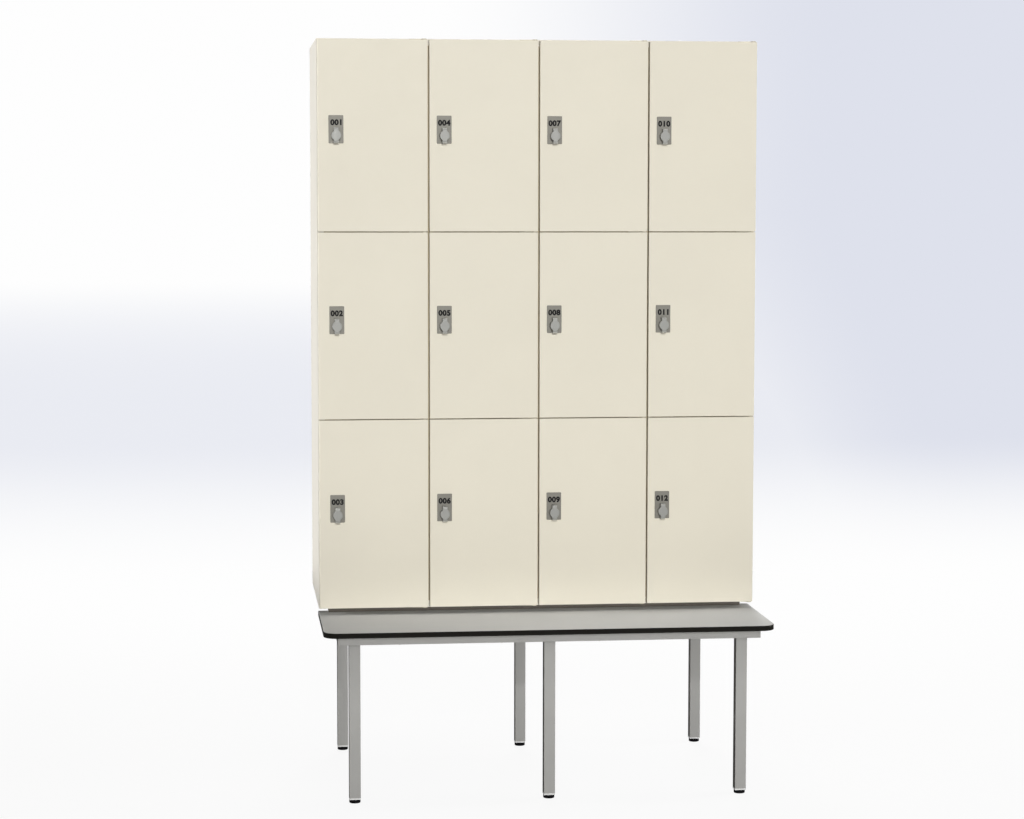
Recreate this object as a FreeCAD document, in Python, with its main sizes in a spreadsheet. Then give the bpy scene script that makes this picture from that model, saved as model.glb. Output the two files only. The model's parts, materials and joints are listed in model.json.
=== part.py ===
import FreeCAD, Part
import os
import Sketcher

# Locker with bench: a cabinet of twelve compartments on a steel frame whose front part carries a seat.
# Millimetres, +Z up, doors face -Y, origin on the floor under the middle of the overall box.

COLUMNS = 4
TIERS = 3

SIZES = {
    # Cabinet
    "cabinet_width": 1200,
    "cabinet_depth": 500,
    "cabinet_height": 1543,
    "tier_pitch": 507,
    "panel_thickness": 18,
    "back_thickness": 8,
    "back_rebate": 9,
    "base_height": 15,
    "base_end_inset": 27.5,
    "base_front_inset": 50,
    "base_rear_inset": 30,
    # Doors
    "door_thickness": 18,
    "door_standoff": 4,
    "door_side_gap": 4,
    "door_end_gap": 3,
    "door_arris": 2,
    "buffer_diameter": 6,
    "buffer_gap": 0.4,
    "buffer_inset": 16,
    # Door pivots
    "pivot_inset": 9,
    "pin_diameter": 6,
    "pin_reach": 12,
    "pin_clearance": 0.05,
    "pin_seat_clearance": 0.02,
    "pin_head_diameter": 11,
    "pivot_play": 0.1,
    "bore_end_room": 1,
    "bracket_clearance": 0.5,
    "flange_thickness": 2,
    "bracket_nose": 7,
    "bracket_depth": 6,
    "flange_start": 10,
    "flange_length": 30,
    "flange_height": 16,
    # Locks
    "lock_inset": 33,
    "lock_plate_width": 40,
    "lock_plate_height": 75,
    "lock_plate_thickness": 3,
    "lock_plate_corner": 2,
    "lock_plate_edge": 0.6,
    "lock_axis_height": 21,
    "barrel_diameter": 20,
    "barrel_clearance": 0.3,
    "barrel_tail": 8,
    "nut_flats": 27,
    "nut_thickness": 4,
    "spindle_diameter": 9,
    "spindle_tail": 1.5,
    "knob_diameter": 26,
    "knob_height": 20,
    "knob_clearance": 0.3,
    "knob_edge": 0.8,
    "grip_width": 13,
    "grip_overhang": 8.5,
    "grip_flat": 1,
    "grip_root_radius": 2,
    "cam_tip_gap": 2,
    "cam_width": 14,
    "cam_thickness": 3,
    "cam_clearance": 0.5,
    "strike_lip": 12,
    "strike_height": 30,
    "strike_depth": 32,
    "strike_thickness": 2,
    "strike_clearance": 1,
    # Bench
    "seat_height": 464,
    "bench_reach": 300,
    "bench_width": 1200,
    "bench_lap": 30,
    "bench_thickness": 14,
    "bench_corner": 38,
    "bench_arris": 1,
    "strip_thickness": 2,
    "strip_width": 20,
    "strip_end_inset": 10,
    # Steel frame
    "rail_end_inset": 37.5,
    "rail_front_inset": 25,
    "rail_rear_inset": 25,
    "rail_width": 30,
    "rail_height": 20,
    "leg_size": 30,
    "tube_wall": 1.5,
    "tube_corner": 1,
    "collar_height": 4,
    "collar_plug_height": 16,
    "collar_plug_clearance": 0.2,
    "foot_height": 10,
    "foot_diameter": 30,
    "foot_rounding": 2,
    "foot_stem_diameter": 8,
    "foot_stem_height": 10,
    "foot_stem_clearance": 0.05,
}

doc = FreeCAD.newDocument("locker_with_bench")
dims = doc.addObject("Spreadsheet::Sheet", "dims")
for row, (alias, size) in enumerate(SIZES.items(), start=1):
    dims.set(f"A{row}", alias)
    dims.set(f"B{row}", str(size))
    dims.setAlias(f"B{row}", alias)
doc.recompute()

# Levels and planes that several pieces share
DOOR_FRONT = "((dims.bench_reach - dims.cabinet_depth) / 2)"
CARCASS_FRONT = f"({DOOR_FRONT} + dims.door_thickness + dims.door_standoff)"
CABINET_BACK = "((dims.bench_reach + dims.cabinet_depth) / 2)"
CARCASS_DEPTH = "(dims.cabinet_depth - dims.door_thickness - dims.door_standoff)"
INNER_DEPTH = f"({CARCASS_DEPTH} - dims.back_thickness)"
BENCH_FRONT = "(-(dims.bench_reach + dims.cabinet_depth) / 2)"
BENCH_LOW = "(dims.seat_height - dims.bench_thickness)"
RAIL_TOP = f"({BENCH_LOW} - dims.strip_thickness)"
RAIL_LOW = f"({RAIL_TOP} - dims.rail_height)"
CABINET_LOW = "(dims.seat_height + dims.base_height)"
CABINET_TOP = f"({CABINET_LOW} + dims.cabinet_height)"
CABINET_MIDDLE = f"({CABINET_LOW} + dims.cabinet_height / 2)"
COLUMN_PITCH = f"(dims.cabinet_width / {COLUMNS})"
DOOR_WIDTH = f"({COLUMN_PITCH} - dims.door_side_gap)"
RAIL_END = "(dims.bench_width / 2 - dims.rail_end_inset)"
RAIL_FRONT = f"({BENCH_FRONT} + dims.rail_front_inset)"
RAIL_REAR = f"({CABINET_BACK} - dims.rail_rear_inset)"
LEG_LOW = "(dims.foot_height + dims.collar_height)"
LEG_OFFSET = f"({RAIL_END} - dims.rail_width - dims.leg_size / 2)"
LEG_ROWS = {
    "front": f"({RAIL_FRONT} + dims.rail_width)",
    "rear": f"({RAIL_REAR} - dims.rail_width - dims.leg_size)",
}
LEG_PLACES = (f"(-{LEG_OFFSET})", "0", LEG_OFFSET)
PIVOT_REACH = "(dims.door_end_gap / 2 + dims.pin_reach)"
BENCH_DEPTH = "(dims.bench_reach + dims.base_front_inset + dims.bench_lap)"
BRACKET_THICKNESS = "(dims.door_end_gap - 2 * dims.bracket_clearance)"
CAM_FACE = "(dims.door_thickness + dims.barrel_tail + dims.cam_clearance)"
KNOB_BACK = "(dims.lock_plate_thickness + dims.knob_clearance)"
KNOB_FRONT = f"({KNOB_BACK} + dims.knob_height)"
GRIP_LENGTH = "(dims.knob_diameter + 2 * dims.grip_overhang)"
CAM_REACH = "(dims.lock_inset - dims.strike_thickness - dims.cam_tip_gap)"
X_AXIS = FreeCAD.Vector(1, 0, 0)
Y_AXIS = FreeCAD.Vector(0, 1, 0)
Z_AXIS = FreeCAD.Vector(0, 0, 1)


def column_line(column):
    """X of the line between two columns, or of the cabinet's end."""
    return f"(-dims.cabinet_width / 2 + {column} * {COLUMN_PITCH})"


def left_wall(column):
    """X of the inner face at the left of a compartment."""
    if column == 0:
        return "(-dims.cabinet_width / 2 + dims.panel_thickness)"
    return f"({column_line(column)} + dims.panel_thickness / 2)"


def right_wall(column):
    """X of the inner face at the right of a compartment."""
    if column == COLUMNS - 1:
        return "(dims.cabinet_width / 2 - dims.panel_thickness)"
    return f"({column_line(column + 1)} - dims.panel_thickness / 2)"


def door_left(column):
    return f"({column_line(column)} + dims.door_side_gap / 2)"


def gap_line(level):
    """Height of the middle of the gap under tier number level, counted from below."""
    if level == 0:
        return f"({CABINET_LOW} + dims.door_end_gap / 2)"
    if level == TIERS:
        return f"({CABINET_TOP} - dims.door_end_gap / 2)"
    return f"({CABINET_MIDDLE} + ({level} - {TIERS} / 2) * dims.tier_pitch)"


def door_low(tier):
    return f"({gap_line(tier)} + dims.door_end_gap / 2)"


def door_high(tier):
    return f"({gap_line(tier + 1)} - dims.door_end_gap / 2)"


def lock_x(column):
    return f"({left_wall(column)} + dims.lock_inset)"


def lock_z(tier):
    return f"(({door_low(tier)} + {door_high(tier)}) / 2)"


def pivot_x(column):
    return f"({door_left(column)} + {DOOR_WIDTH} - dims.pivot_inset)"


PIVOT_Y = f"({DOOR_FRONT} + dims.door_thickness / 2)"


def value(expression):
    return float(dims.evalExpression(expression))


def place(piece, x, y, z, turn=0):
    """Put a piece at a point given by expressions, turned about Z by a number of degrees."""
    piece.Placement = FreeCAD.Placement(FreeCAD.Vector(), FreeCAD.Rotation(Z_AXIS, turn))
    for axis, expression in zip("xyz", (x, y, z)):
        piece.setExpression(f"Placement.Base.{axis}", expression)


def new_body(label):
    return doc.addObject("PartDesign::Body", label)


def new_sketch(body, name, role="XY_Plane", offset="0"):
    """Sketch on one of the body's own origin planes, moved along its normal."""
    sketch = body.newObject("Sketcher::SketchObject", f"{body.Name}_{name}")
    plane = [feature for feature in body.Origin.OriginFeatures if feature.Role == role][0]
    sketch.AttachmentSupport = [(plane, "")]
    sketch.MapMode = "FlatFace"
    sketch.setExpression("AttachmentOffset.Base.z", offset)
    return sketch


def bind(sketch, kind, *references, size):
    """Add a dimension to a sketch and tie it to an expression."""
    index = sketch.addConstraint(Sketcher.Constraint(kind, *references, value(size)))
    sketch.setExpression(f"Constraints[{index}]", size)


def bind_point(sketch, geometry, position, x, y):
    bind(sketch, "DistanceX", -1, 1, geometry, position, size=x)
    bind(sketch, "DistanceY", -1, 1, geometry, position, size=y)


def polygon(sketch, corners):
    """Closed outline through corners given as pairs of expressions."""
    points = [FreeCAD.Vector(value(x), value(y), 0) for x, y in corners]
    lines = []
    for start, end in zip(points, points[1:] + points[:1]):
        lines.append(sketch.addGeometry(Part.LineSegment(start, end)))
    for line, following in zip(lines, lines[1:] + lines[:1]):
        sketch.addConstraint(Sketcher.Constraint("Coincident", line, 2, following, 1))
    for line, (x, y) in zip(lines, corners):
        bind_point(sketch, line, 1, x, y)


def rectangle(sketch, width, height, left="0", low="0"):
    right = f"({left} + {width})"
    high = f"({low} + {height})"
    polygon(sketch, ((left, low), (right, low), (right, high), (left, high)))


def circle(sketch, diameter, x="0", y="0"):
    centre = FreeCAD.Vector(value(x), value(y), 0)
    index = sketch.addGeometry(Part.Circle(centre, Z_AXIS, value(diameter) / 2))
    bind(sketch, "Diameter", index, size=diameter)
    bind_point(sketch, index, 3, x, y)


def upright_slot(sketch, width, low, high):
    """Slot outline with round ends centred on (0, low) and (0, high)."""
    radius = value(width) / 2
    bottom = FreeCAD.Vector(0, value(low), 0)
    top = FreeCAD.Vector(0, value(high), 0)
    side = FreeCAD.Vector(radius, 0, 0)
    half_turn = FreeCAD.Units.parseQuantity("180 deg").getValueAs("rad").Value
    upper = sketch.addGeometry(Part.ArcOfCircle(Part.Circle(top, Z_AXIS, radius), 0, half_turn))
    left = sketch.addGeometry(Part.LineSegment(top - side, bottom - side))
    lower = sketch.addGeometry(Part.ArcOfCircle(Part.Circle(bottom, Z_AXIS, radius), half_turn, 2 * half_turn))
    right = sketch.addGeometry(Part.LineSegment(bottom + side, top + side))
    ring = (upper, left, lower, right)
    for piece, following in zip(ring, ring[1:] + ring[:1]):
        sketch.addConstraint(Sketcher.Constraint("Tangent", piece, 2, following, 1))
    sketch.addConstraint(Sketcher.Constraint("Equal", upper, lower))
    bind(sketch, "Diameter", upper, size=width)
    bind_point(sketch, upper, 3, "0", high)
    bind_point(sketch, lower, 3, "0", low)


def pad(body, sketch, length, reverse=False):
    feature = body.newObject("PartDesign::Pad", f"{sketch.Name}_pad")
    feature.Profile = sketch
    feature.Reversed = reverse
    feature.setExpression("Length", length)
    return feature


def pocket(body, sketch, depth=None, reverse=False):
    """Cut to a depth, or through everything when no depth is given."""
    feature = body.newObject("PartDesign::Pocket", f"{sketch.Name}_pocket")
    feature.Profile = sketch
    feature.Reversed = reverse
    if depth is None:
        feature.Type = "ThroughAll"
    else:
        feature.setExpression("Length", depth)
    return feature


def revolve(body, sketch):
    feature = body.newObject("PartDesign::Revolution", f"{sketch.Name}_turned")
    feature.Profile = sketch
    feature.ReferenceAxis = (sketch, ["V_Axis"])
    feature.Angle = 360
    return feature


def edges_where(body, test):
    """Names of the edges of a body's present shape that pass a test, in the body's own frame."""
    doc.recompute()
    edges = body.Tip.Shape.Edges
    return [f"Edge{number}" for number, edge in enumerate(edges, start=1) if test(edge)]


def round_edges(body, edges, radius):
    """Round chosen edges of a body's present shape."""
    base = body.Tip
    feature = body.newObject("PartDesign::Fillet", f"{body.Name}_fillet_{len(body.Group)}")
    feature.Base = (base, edges)
    feature.setExpression("Radius", radius)
    return feature


def runs_along(edge, axis):
    """True for a straight edge parallel to an axis given as a vector."""
    if not isinstance(edge.Curve, Part.Line):
        return False
    return abs(abs(edge.Curve.Direction.dot(axis)) - 1) < 1e-6


def on_box_corner(edge, box, axis):
    """True for an edge along an axis that lies on a corner of a box."""
    middle = edge.CenterOfMass
    spans = {"X": (box.XMin, box.XMax), "Y": (box.YMin, box.YMax), "Z": (box.ZMin, box.ZMax)}
    places = {"X": middle.x, "Y": middle.y, "Z": middle.z}
    spans.pop(axis)
    return all(min(abs(places[name] - low), abs(places[name] - high)) < 1e-4
               for name, (low, high) in spans.items())


def round_long_edges(body, axis, radius):
    """Round the four outer edges of a body that run along one axis."""
    doc.recompute()
    box = body.Tip.Shape.BoundBox
    direction = {"X": X_AXIS, "Y": Y_AXIS, "Z": Z_AXIS}[axis]
    corners = edges_where(body, lambda edge: runs_along(edge, direction) and on_box_corner(edge, box, axis))
    round_edges(body, corners, radius)


def box_body(label, x, y, z, width, depth, height):
    """Plain board: a rectangle in plan padded upwards."""
    body = new_body(label)
    sketch = new_sketch(body, "plan")
    rectangle(sketch, width, depth)
    pad(body, sketch, height)
    place(body, x, y, z)
    return body


def group(label, members):
    """One node made of several separate pieces of the same kind."""
    node = doc.addObject("Part::Compound", label)
    node.Links = members
    return node


# Cabinet

def side_panel(label, sign):
    """Upright end of the cabinet with the rebate for the back panel."""
    body = new_body(label)
    sketch = new_sketch(body, "plan")
    inner = f"({-sign} * dims.panel_thickness)"
    step = f"({-sign} * (dims.panel_thickness - dims.back_rebate))"
    polygon(sketch, (("0", "0"), (inner, "0"), (inner, INNER_DEPTH), (step, INNER_DEPTH),
                     (step, CARCASS_DEPTH), ("0", CARCASS_DEPTH)))
    pad(body, sketch, "dims.cabinet_height")
    place(body, f"{sign} * dims.cabinet_width / 2", CARCASS_FRONT, CABINET_LOW)
    return body


def flat_panel(label, z, rebate_above):
    """Top or bottom of the cabinet, between the sides, with the rebate on its inner face."""
    body = new_body(label)
    sketch = new_sketch(body, "section", "YZ_Plane")
    thick = "dims.panel_thickness"
    if rebate_above:
        step = "(dims.panel_thickness - dims.back_rebate)"
        corners = (("0", "0"), (CARCASS_DEPTH, "0"), (CARCASS_DEPTH, step), (INNER_DEPTH, step),
                   (INNER_DEPTH, thick), ("0", thick))
    else:
        step = "dims.back_rebate"
        corners = (("0", "0"), (INNER_DEPTH, "0"), (INNER_DEPTH, step), (CARCASS_DEPTH, step),
                   (CARCASS_DEPTH, thick), ("0", thick))
    polygon(sketch, corners)
    pad(body, sketch, "dims.cabinet_width - 2 * dims.panel_thickness")
    place(body, left_wall(0), CARCASS_FRONT, z)
    return body


def back_panel():
    edge = "(dims.panel_thickness - dims.back_rebate)"
    return box_body("back_panel", f"-dims.cabinet_width / 2 + {edge}", f"{CABINET_BACK} - dims.back_thickness",
                    f"{CABINET_LOW} + {edge}", f"dims.cabinet_width - 2 * {edge}", "dims.back_thickness",
                    f"dims.cabinet_height - 2 * {edge}")


def partitions():
    boards = []
    for column in range(1, COLUMNS):
        boards.append(box_body(f"partition_{column}", right_wall(column - 1), CARCASS_FRONT,
                               f"{CABINET_LOW} + dims.panel_thickness", "dims.panel_thickness", INNER_DEPTH,
                               "dims.cabinet_height - 2 * dims.panel_thickness"))
    return group("partitions", boards)


def shelves(label, level):
    boards = []
    for column in range(COLUMNS):
        boards.append(box_body(f"{label}_{column + 1}", left_wall(column), CARCASS_FRONT,
                               f"{gap_line(level)} - dims.panel_thickness / 2",
                               f"{right_wall(column)} - {left_wall(column)}", INNER_DEPTH,
                               "dims.panel_thickness"))
    return group(label, boards)


def cabinet_base():
    """Recessed board that lifts the cabinet off the bench."""
    return box_body("cabinet_base", "-dims.cabinet_width / 2 + dims.base_end_inset",
                    f"{DOOR_FRONT} + dims.base_front_inset", "dims.seat_height",
                    "dims.cabinet_width - 2 * dims.base_end_inset",
                    "dims.cabinet_depth - dims.base_front_inset - dims.base_rear_inset", "dims.base_height")


# Doors and what they hang on

def door(label, column, tier):
    """Laminate door with rounded upright edges, a bore for the lock and two bores for the pivot pins."""
    height = f"({door_high(tier)} - {door_low(tier)})"
    body = new_body(label)
    plan = new_sketch(body, "plan")
    rectangle(plan, DOOR_WIDTH, "dims.door_thickness")
    pad(body, plan, height)
    round_long_edges(body, "Z", "dims.door_arris")
    lock = new_sketch(body, "lock_bore", "XZ_Plane")
    circle(lock, "dims.barrel_diameter + 2 * dims.barrel_clearance",
           f"{lock_x(column)} - {door_left(column)}", f"{height} / 2")
    pocket(body, lock)
    bore = "dims.pin_diameter + 2 * dims.pin_clearance"
    depth = "dims.pin_reach + dims.bore_end_room"
    axis_x = f"{DOOR_WIDTH} - dims.pivot_inset"
    for name, offset, upwards in (("low_bore", "0", True), ("high_bore", height, False)):
        sketch = new_sketch(body, name, offset=offset)
        circle(sketch, bore, axis_x, "dims.door_thickness / 2")
        pocket(body, sketch, depth, reverse=upwards)
    place(body, door_left(column), DOOR_FRONT, door_low(tier))
    return body


def pivot_bracket(label, column, level):
    """Steel tongue in the gap between two doors, with a flange on the board edge behind it."""
    back = "(dims.door_thickness / 2 + dims.door_standoff)"
    far = "(-dims.flange_start - dims.flange_length)"
    half = f"({BRACKET_THICKNESS} / 2)"
    body = new_body(label)
    tongue = new_sketch(body, "tongue", offset=f"-{half}")
    polygon(tongue, (("-dims.bracket_nose", "0"), ("dims.bracket_nose", "0"), ("dims.bracket_nose", back),
                     (far, back), (far, f"{back} - dims.bracket_depth")))
    pad(body, tongue, BRACKET_THICKNESS)
    nose = new_sketch(body, "nose", offset=f"-{half}")
    circle(nose, "2 * dims.bracket_nose")
    pad(body, nose, BRACKET_THICKNESS)
    flange = new_sketch(body, "flange", "XZ_Plane", f"-{back}")
    low = {0: f"-{half}", TIERS: f"{half} - dims.flange_height"}.get(level, "-dims.flange_height / 2")
    rectangle(flange, "dims.flange_length", "dims.flange_height", far, low)
    pad(body, flange, "dims.flange_thickness")
    seat = new_sketch(body, "pin_seat", offset=half)
    circle(seat, "dims.pin_diameter + 2 * dims.pin_seat_clearance")
    pocket(body, seat)
    place(body, pivot_x(column), PIVOT_Y, gap_line(level))
    return body


def pivot_pin(label, column, level):
    """Turned pin with a thin head on the bracket; the upper door stands on the head."""
    radius = "dims.pin_diameter / 2"
    head = "dims.pin_head_diameter / 2"
    face = f"({BRACKET_THICKNESS} / 2)"
    head_top = "(dims.door_end_gap / 2 - dims.pivot_play)"
    low = f"(-{face})" if level == 0 else f"(-{PIVOT_REACH})"
    corners = [("0", low), (radius, low), (radius, face), (head, face), (head, head_top)]
    if level == TIERS:
        corners.append(("0", head_top))
    else:
        corners += [(radius, head_top), (radius, PIVOT_REACH), ("0", PIVOT_REACH)]
    body = new_body(label)
    sketch = new_sketch(body, "profile", "XZ_Plane")
    polygon(sketch, corners)
    revolve(body, sketch)
    place(body, pivot_x(column), PIVOT_Y, gap_line(level))
    return body


def on_every_pivot(label, maker):
    members = []
    for column in range(COLUMNS):
        for level in range(TIERS + 1):
            members.append(maker(f"{label}_{column + 1}_{level + 1}", column, level))
    return group(label, members)


def door_buffers():
    """Small rubber buffers on the board edges, at the lock side of every door."""
    members = []
    lap = "((dims.panel_thickness - dims.door_end_gap) / 4 + dims.door_end_gap / 2)"
    for column in range(COLUMNS):
        for tier in range(TIERS):
            heights = (f"{gap_line(tier)} + {lap}", f"{gap_line(tier + 1)} - {lap}")
            for end, height in zip(("low", "high"), heights):
                buffer = doc.addObject("Part::Cylinder", f"buffer_{column + 1}_{tier + 1}_{end}")
                buffer.setExpression("Radius", "dims.buffer_diameter / 2")
                buffer.setExpression("Height", "dims.door_standoff - dims.buffer_gap")
                place(buffer, f"{left_wall(column)} + dims.buffer_inset", CARCASS_FRONT, height)
                buffer.Placement.Rotation = FreeCAD.Rotation(X_AXIS, 90)
                members.append(buffer)
    return group("door_buffers", members)


# Locks

def lock_case(label, column, tier):
    """Number plate with a barrel through the door, and the nut that holds it from behind."""
    body = new_body(f"{label}_case")
    plate = new_sketch(body, "plate", "XZ_Plane")
    rectangle(plate, "dims.lock_plate_width", "dims.lock_plate_height", "-dims.lock_plate_width / 2",
              "-dims.lock_axis_height")
    pad(body, plate, "dims.lock_plate_thickness")
    round_long_edges(body, "Y", "dims.lock_plate_corner")
    round_front(body, "dims.lock_plate_thickness", "dims.lock_plate_edge")
    barrel = new_sketch(body, "barrel", "XZ_Plane")
    circle(barrel, "dims.barrel_diameter")
    pad(body, barrel, "dims.door_thickness + dims.barrel_tail", reverse=True)
    bore = new_sketch(body, "spindle_bore", "XZ_Plane", "dims.lock_plate_thickness")
    circle(bore, "dims.spindle_diameter + 2 * dims.pin_clearance")
    pocket(body, bore)
    place(body, lock_x(column), DOOR_FRONT, lock_z(tier))

    nut = new_body(f"{label}_nut")
    outline = new_sketch(nut, "outline", "XZ_Plane")
    corner = "dims.nut_flats / 2 / cos(30 deg)"
    polygon(outline, [(f"{corner} * cos({60 * side} deg)", f"{corner} * sin({60 * side} deg)")
                      for side in range(6)])
    circle(outline, "dims.barrel_diameter + 2 * dims.pin_seat_clearance")
    pad(nut, outline, "dims.nut_thickness", reverse=True)
    place(nut, lock_x(column), f"{DOOR_FRONT} + dims.door_thickness", lock_z(tier))
    return group(label, [body, nut])


def turn_latch(label, column, tier):
    """Turn knob with its spindle, and the cam on the spindle's end behind the door."""
    body = new_body(f"{label}_knob")
    hub = new_sketch(body, "hub", "XZ_Plane", KNOB_BACK)
    circle(hub, "dims.knob_diameter")
    pad(body, hub, "dims.knob_height")
    grip = new_sketch(body, "grip", "XZ_Plane", KNOB_BACK)
    rectangle(grip, "dims.grip_width", GRIP_LENGTH, "-dims.grip_width / 2", f"-{GRIP_LENGTH} / 2")
    pad(body, grip, "dims.knob_height")
    round_grip(body)
    round_front(body, KNOB_FRONT, "dims.knob_edge")
    spindle = new_sketch(body, "spindle", "XZ_Plane", KNOB_BACK)
    circle(spindle, "dims.spindle_diameter")
    pad(body, spindle, f"{KNOB_BACK} + {CAM_FACE} + dims.cam_thickness + dims.spindle_tail", reverse=True)
    place(body, lock_x(column), DOOR_FRONT, lock_z(tier))

    cam = new_body(f"{label}_cam")
    outline = new_sketch(cam, "outline", "XZ_Plane", f"-{CAM_FACE}")
    upright_slot(outline, "dims.cam_width", f"-({CAM_REACH} - dims.cam_width / 2)", "0")
    circle(outline, "dims.spindle_diameter + 2 * dims.pin_seat_clearance")
    pad(cam, outline, "dims.cam_thickness", reverse=True)
    place(cam, lock_x(column), DOOR_FRONT, lock_z(tier))
    return group(label, [body, cam])


def round_grip(body):
    """Round shoulders at both ends of the grip, and hollows where its sides run into the round hub."""
    hub_radius = value("dims.knob_diameter / 2")
    end = value(GRIP_LENGTH) / 2
    front = -value(KNOB_FRONT)

    def is_shoulder(edge):
        middle = edge.CenterOfMass
        return runs_along(edge, X_AXIS) and abs(abs(middle.z) - end) < 1e-4 and abs(middle.y - front) < 1e-4

    def is_root(edge):
        middle = edge.CenterOfMass
        return runs_along(edge, Y_AXIS) and abs(FreeCAD.Vector(middle.x, 0, middle.z).Length - hub_radius) < 1e-4

    round_edges(body, edges_where(body, is_shoulder), "dims.grip_overhang - dims.grip_flat")
    round_edges(body, edges_where(body, is_root), "dims.grip_root_radius")


def round_front(body, depth, radius):
    """Round the edges that lie in a front plane at a given depth; level edges there are shoulders already."""
    front = -value(depth)

    def is_front(edge):
        box = edge.BoundBox
        return abs(box.YMax - front) < 1e-4 and abs(box.YMin - front) < 1e-4 and box.ZLength > 1e-4

    round_edges(body, edges_where(body, is_front), radius)


def strike_plates():
    """Angles on the wall beside each lock; the cam swings in behind the lip."""
    members = []
    lip_back = f"({DOOR_FRONT} + {CAM_FACE} - dims.strike_clearance)"
    thick = "dims.strike_thickness"
    for column in range(COLUMNS):
        for tier in range(TIERS):
            body = new_body(f"strike_{column + 1}_{tier + 1}")
            sketch = new_sketch(body, "section")
            polygon(sketch, (("0", f"-{thick}"), ("dims.strike_lip", f"-{thick}"), ("dims.strike_lip", "0"),
                             (thick, "0"), (thick, "dims.strike_depth"), ("0", "dims.strike_depth")))
            pad(body, sketch, "dims.strike_height")
            place(body, left_wall(column), lip_back, f"{lock_z(tier)} - dims.strike_height / 2")
            members.append(body)
    return group("strike_plates", members)


# Bench

def bench_board():
    """Compact laminate seat with rounded front corners and a small arris along its front and ends."""
    body = box_body("bench_board", "-dims.bench_width / 2", BENCH_FRONT, BENCH_LOW,
                    "dims.bench_width", BENCH_DEPTH, "dims.bench_thickness")
    front = edges_where(body, lambda edge: runs_along(edge, Z_AXIS) and abs(edge.CenterOfMass.y) < 1e-4)
    round_edges(body, front, "dims.bench_corner")
    back = value(BENCH_DEPTH)
    rim = edges_where(body, lambda edge: edge.BoundBox.ZLength < 1e-4 and edge.CenterOfMass.y < back - 1e-4)
    round_edges(body, rim, "dims.bench_arris")
    return body


def bench_strips():
    """Thin strips that bed the seat on the rails."""
    inner_length = f"2 * ({RAIL_END} - dims.rail_width)"
    edge = "(dims.rail_width - dims.strip_width) / 2"
    members = [box_body("strip_front", f"-{RAIL_END} + dims.rail_width", f"{RAIL_FRONT} + {edge}", RAIL_TOP,
                        inner_length, "dims.strip_width", "dims.strip_thickness")]
    start = f"({LEG_ROWS['front']} + dims.leg_size)"
    length = f"{BENCH_FRONT} + {BENCH_DEPTH} - dims.strip_end_inset - {start}"
    rail_middles = (f"(-{RAIL_END} + dims.rail_width / 2)", "0", f"({RAIL_END} - dims.rail_width / 2)")
    for number, middle in enumerate(rail_middles, start=1):
        members.append(box_body(f"strip_depth_{number}", f"{middle} - dims.strip_width / 2", start, RAIL_TOP,
                                "dims.strip_width", length, "dims.strip_thickness"))
    return group("bench_strips", members)


def rear_packer():
    """Batten on the rear rail that brings the base up to the level of the seat."""
    return box_body("rear_packer", f"-{RAIL_END} + dims.rail_width", f"{RAIL_REAR} - dims.rail_width", RAIL_TOP,
                    f"2 * ({RAIL_END} - dims.rail_width)", "dims.rail_width",
                    "dims.bench_thickness + dims.strip_thickness")


# Steel frame

def rail(label, length, x, y, turn, mitred=True):
    """Rectangular tube along its own X, outer face at its own Y = 0, with mitred ends."""
    body = new_body(label)
    section = new_sketch(body, "section", "YZ_Plane")
    rectangle(section, "dims.rail_width", "dims.rail_height")
    rectangle(section, "dims.rail_width - 2 * dims.tube_wall", "dims.rail_height - 2 * dims.tube_wall",
              "dims.tube_wall", "dims.tube_wall")
    pad(body, section, length)
    round_long_edges(body, "X", "dims.tube_corner")
    if mitred:
        wide = "dims.rail_width"
        ends = new_sketch(body, "mitres")
        polygon(ends, (("0", "0"), (wide, wide), ("0", wide)))
        polygon(ends, ((length, "0"), (length, wide), (f"{length} - {wide}", wide)))
        pocket(body, ends, reverse=True)
    place(body, x, y, RAIL_LOW, turn)
    return body


def rails_depth():
    """Two side rails, and the rail between the middle legs."""
    depth = f"({RAIL_REAR} - {RAIL_FRONT})"
    start = f"({LEG_ROWS['front']} + dims.leg_size)"
    members = [
        rail("rail_right", depth, RAIL_END, RAIL_FRONT, 90),
        rail("rail_left", depth, f"-{RAIL_END}", RAIL_REAR, -90),
        rail("rail_middle", f"({LEG_ROWS['rear']} - {start})", "dims.rail_width / 2", start, 90, mitred=False),
    ]
    return group("rails_depth", members)


def leg(label, x, y):
    """Square tube from the collar up to the top of the rails."""
    body = new_body(label)
    section = new_sketch(body, "section")
    rectangle(section, "dims.leg_size", "dims.leg_size")
    inner = "dims.leg_size - 2 * dims.tube_wall"
    rectangle(section, inner, inner, "dims.tube_wall", "dims.tube_wall")
    pad(body, section, f"{RAIL_TOP} - {LEG_LOW}")
    round_long_edges(body, "Z", "dims.tube_corner")
    place(body, f"{x} - dims.leg_size / 2", y, LEG_LOW)
    return body


def leg_collar(label, x, y):
    """End cap of a leg: a square flange with a plug in the tube and a seat for the foot."""
    body = new_body(label)
    flange = new_sketch(body, "flange")
    rectangle(flange, "dims.leg_size", "dims.leg_size")
    pad(body, flange, "dims.collar_height")
    round_long_edges(body, "Z", "dims.tube_corner")
    inset = "(dims.tube_wall + dims.collar_plug_clearance)"
    plug = new_sketch(body, "plug", offset="dims.collar_height")
    side = f"dims.leg_size - 2 * {inset}"
    rectangle(plug, side, side, inset, inset)
    pad(body, plug, "dims.collar_plug_height")
    seat = new_sketch(body, "foot_seat")
    circle(seat, "dims.foot_stem_diameter + 2 * dims.foot_stem_clearance", "dims.leg_size / 2", "dims.leg_size / 2")
    pocket(body, seat, "dims.foot_stem_height + dims.bore_end_room", reverse=True)
    place(body, f"{x} - dims.leg_size / 2", y, "dims.foot_height")
    return body


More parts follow.
